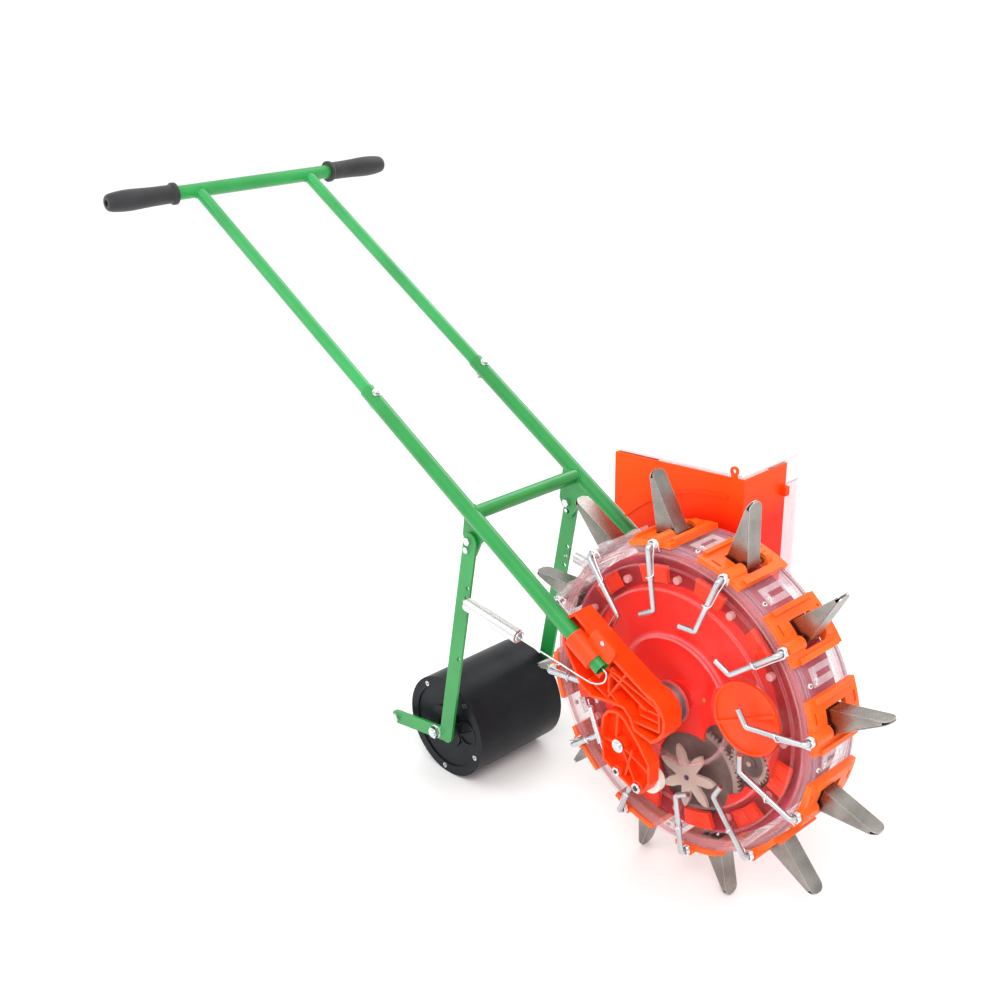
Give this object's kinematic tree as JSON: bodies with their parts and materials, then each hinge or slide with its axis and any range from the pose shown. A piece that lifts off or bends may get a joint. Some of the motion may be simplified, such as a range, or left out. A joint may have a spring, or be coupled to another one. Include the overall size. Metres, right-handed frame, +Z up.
{
  "type": "push seeder",
  "caption": "Hand-pushed seeder: a wheel of opening beaks fed from a side hopper, a sprung press roller behind it and a long two-tube push handle.",
  "frame": {"origin": "on the ground, under the centre of the machine's box", "axes": "+X forward, from the handle to the beak wheel; +Y to the machine's left, along the wheel's axle; +Z up"},
  "size_m": [1.2293, 0.518, 0.8395],
  "materials": {
    "green_paint": "glossy powder coat",
    "pale_green_paint": "glossy powder coat, slightly lighter",
    "black_rubber": "matt moulded rubber",
    "black_plastic": "satin moulded plastic",
    "orange_plastic": "glossy injection moulding",
    "base_orange": "glossy injection moulding",
    "red_plastic": "glossy injection moulding",
    "clear_plastic": "clear moulded plastic",
    "clear_white_plastic": "clear moulded plastic, slightly milky",
    "pink_plastic": "translucent moulding",
    "gear_plastic": "pale nylon",
    "white_plastic": "white nylon",
    "stainless": "pressed stainless sheet, lightly brushed",
    "zinc_steel": "bright zinc plating"
  },
  "bodies": {
    "frame": {"handle_bar": "pale_green_paint", "grips": "black_rubber", "upper_tubes": "pale_green_paint", "handle_bolts": "zinc_steel", "lower_tubes": "green_paint", "brace_tube": "green_paint", "leg_tabs": "green_paint", "side_arm_right": "orange_plastic", "side_arm_left": "orange_plastic", "tube_clamps": "orange_plastic", "arm_fasteners": "zinc_steel", "axle": "zinc_steel", "hub_collars": "zinc_steel", "seed_case": "red_plastic", "hopper_shell": "orange_plastic", "hopper_tank": "clear_white_plastic", "trip_spring": "zinc_steel", "press_spring_right": "zinc_steel", "press_spring_left": "zinc_steel"},
    "beak_wheel": {"drum_cover_right": "clear_plastic", "drum_cover_left": "clear_plastic", "drum_rim": "clear_plastic", "nozzle_bases_orange": "base_orange", "nozzle_bases_clear": "clear_white_plastic", "fixed_beaks": "stainless", "seed_cups": "orange_plastic", "drive_pegs": "pink_plastic", "metering_slides": "clear_white_plastic", "rim_screws": "zinc_steel", "return_springs": "zinc_steel"},
    "cleanout_cap": {"cleanout_cap": "orange_plastic"},
    "star": {"star_wheel": "gear_plastic", "star_gear": "gear_plastic"},
    "feed": {"feed_gear": "gear_plastic"},
    "trip_bracket": {"trip_bracket": "orange_plastic", "trip_fasteners": "zinc_steel"},
    "trip_roller": {"trip_roller": "white_plastic"},
    "press_frame": {"leg_right": "green_paint", "leg_left": "green_paint", "leg_fasteners": "zinc_steel", "roller_axle": "zinc_steel"},
    "press_roller": {"roller_shell": "black_plastic", "roller_end_caps": "black_plastic", "end_cap_screws": "zinc_steel", "roller_plugs": "black_plastic"},
    "hopper_lid": {"hopper_lid": "clear_white_plastic"},
    "opener_01": {"beak_opener_01": "stainless"},
    "opener_02": {"beak_opener_02": "stainless"},
    "opener_03": {"beak_opener_03": "stainless"},
    "opener_04": {"beak_opener_04": "stainless"},
    "opener_05": {"beak_opener_05": "stainless"},
    "opener_06": {"beak_opener_06": "stainless"},
    "opener_07": {"beak_opener_07": "stainless"},
    "opener_08": {"beak_opener_08": "stainless"},
    "opener_09": {"beak_opener_09": "stainless"},
    "opener_10": {"beak_opener_10": "stainless"},
    "opener_11": {"beak_opener_11": "stainless"},
    "opener_12": {"beak_opener_12": "stainless"}
  },
  "joints": [
    {"name": "wheel_spin", "type": "hinge", "parent": "frame", "child": "beak_wheel", "pos_m": [0.3324, 0, 0.2811], "axis": [0, 1, 0], "continuous": true},
    {"name": "beak_01_open", "type": "hinge", "parent": "beak_wheel", "child": "opener_01", "pos_m": [0.53934, 0, 0.31684], "axis": [0, 1, 0], "range_deg": [0, 20], "stiffness_Nm_per_rad": 0.6, "springref_deg": -20.05},
    {"name": "beak_02_open", "type": "hinge", "parent": "beak_wheel", "child": "opener_02", "pos_m": [0.49374, 0, 0.41552], "axis": [0, 1, 0], "range_deg": [0, 20], "stiffness_Nm_per_rad": 0.6, "springref_deg": -20.05},
    {"name": "beak_03_open", "type": "hinge", "parent": "beak_wheel", "child": "opener_03", "pos_m": [0.40491, 0, 0.47818], "axis": [0, 1, 0], "range_deg": [0, 20], "stiffness_Nm_per_rad": 0.6, "springref_deg": -20.05},
    {"name": "beak_04_open", "type": "hinge", "parent": "beak_wheel", "child": "opener_04", "pos_m": [0.29666, 0, 0.48804], "axis": [0, 1, 0], "range_deg": [0, 20], "stiffness_Nm_per_rad": 0.6, "springref_deg": -20.05},
    {"name": "beak_05_open", "type": "hinge", "parent": "beak_wheel", "child": "opener_05", "pos_m": [0.19798, 0, 0.44244], "axis": [0, 1, 0], "range_deg": [0, 20], "stiffness_Nm_per_rad": 0.6, "springref_deg": -20.05},
    {"name": "beak_06_open", "type": "hinge", "parent": "beak_wheel", "child": "opener_06", "pos_m": [0.13532, 0, 0.35361], "axis": [0, 1, 0], "range_deg": [0, 20], "stiffness_Nm_per_rad": 0.6, "springref_deg": -20.05},
    {"name": "beak_07_open", "type": "hinge", "parent": "beak_wheel", "child": "opener_07", "pos_m": [0.12546, 0, 0.24536], "axis": [0, 1, 0], "range_deg": [0, 20], "stiffness_Nm_per_rad": 0.6, "springref_deg": -20.05},
    {"name": "beak_08_open", "type": "hinge", "parent": "beak_wheel", "child": "opener_08", "pos_m": [0.17106, 0, 0.14668], "axis": [0, 1, 0], "range_deg": [0, 20], "stiffness_Nm_per_rad": 0.6, "springref_deg": -20.05},
    {"name": "beak_09_open", "type": "hinge", "parent": "beak_wheel", "child": "opener_09", "pos_m": [0.25989, 0, 0.08402], "axis": [0, 1, 0], "range_deg": [0, 20], "stiffness_Nm_per_rad": 0.6, "springref_deg": -20.05},
    {"name": "beak_10_open", "type": "hinge", "parent": "beak_wheel", "child": "opener_10", "pos_m": [0.36814, 0, 0.07416], "axis": [0, 1, 0], "range_deg": [0, 20], "stiffness_Nm_per_rad": 0.6, "springref_deg": -20.05},
    {"name": "beak_11_open", "type": "hinge", "parent": "beak_wheel", "child": "opener_11", "pos_m": [0.46682, 0, 0.11976], "axis": [0, 1, 0], "range_deg": [0, 20], "stiffness_Nm_per_rad": 0.6, "springref_deg": -20.05},
    {"name": "beak_12_open", "type": "hinge", "parent": "beak_wheel", "child": "opener_12", "pos_m": [0.52948, 0, 0.20859], "axis": [0, 1, 0], "range_deg": [0, 20], "stiffness_Nm_per_rad": 0.6, "springref_deg": -20.05},
    {"name": "star_spin", "type": "hinge", "parent": "frame", "child": "star", "pos_m": [0.3544, 0, 0.1731], "axis": [0, 1, 0], "continuous": true},
    {"name": "feed_spin", "type": "hinge", "parent": "frame", "child": "feed", "pos_m": [0.43714, 0, 0.22561], "axis": [0, 1, 0], "continuous": true},
    {"name": "cleanout_cap_twist", "type": "hinge", "parent": "beak_wheel", "child": "cleanout_cap", "pos_m": [0.44684, -0.042, 0.30543], "axis": [0, 1, 0], "range_deg": [0, 45]},
    {"name": "trip_bracket_rock", "type": "hinge", "parent": "frame", "child": "trip_bracket", "pos_m": [0.2939, -0.091, 0.2228], "axis": [0, 1, 0], "range_deg": [-3, 3], "stiffness_Nm_per_rad": 8, "deforming": ["trip_spring"]},
    {"name": "trip_roller_spin", "type": "hinge", "parent": "trip_bracket", "child": "trip_roller", "pos_m": [0.3264, -0.073, 0.1751], "axis": [0, 1, 0], "continuous": true},
    {"name": "press_frame_swing", "type": "hinge", "parent": "frame", "child": "press_frame", "pos_m": [0.0136, 0, 0.4183], "axis": [0, 1, 0], "range_deg": [-12, 20], "stiffness_Nm_per_rad": 30, "springref_deg": -8.59, "deforming": ["press_spring_right", "press_spring_left"]},
    {"name": "press_roller_spin", "type": "hinge", "parent": "press_frame", "child": "press_roller", "pos_m": [-0.0689, 0, 0.0801], "axis": [0, 1, 0], "continuous": true},
    {"name": "hopper_lid_hinge", "type": "hinge", "parent": "frame", "child": "hopper_lid", "pos_m": [0.2409, 0.1814, 0.5251], "axis": [-1, 0, 0], "range_deg": [0, 110]}
  ],
  "couplings": [
    {"joint": "star_spin", "follows": "wheel_spin", "ratio": 1.7143},
    {"joint": "feed_spin", "follows": "wheel_spin", "ratio": -4.2857}
  ]
}
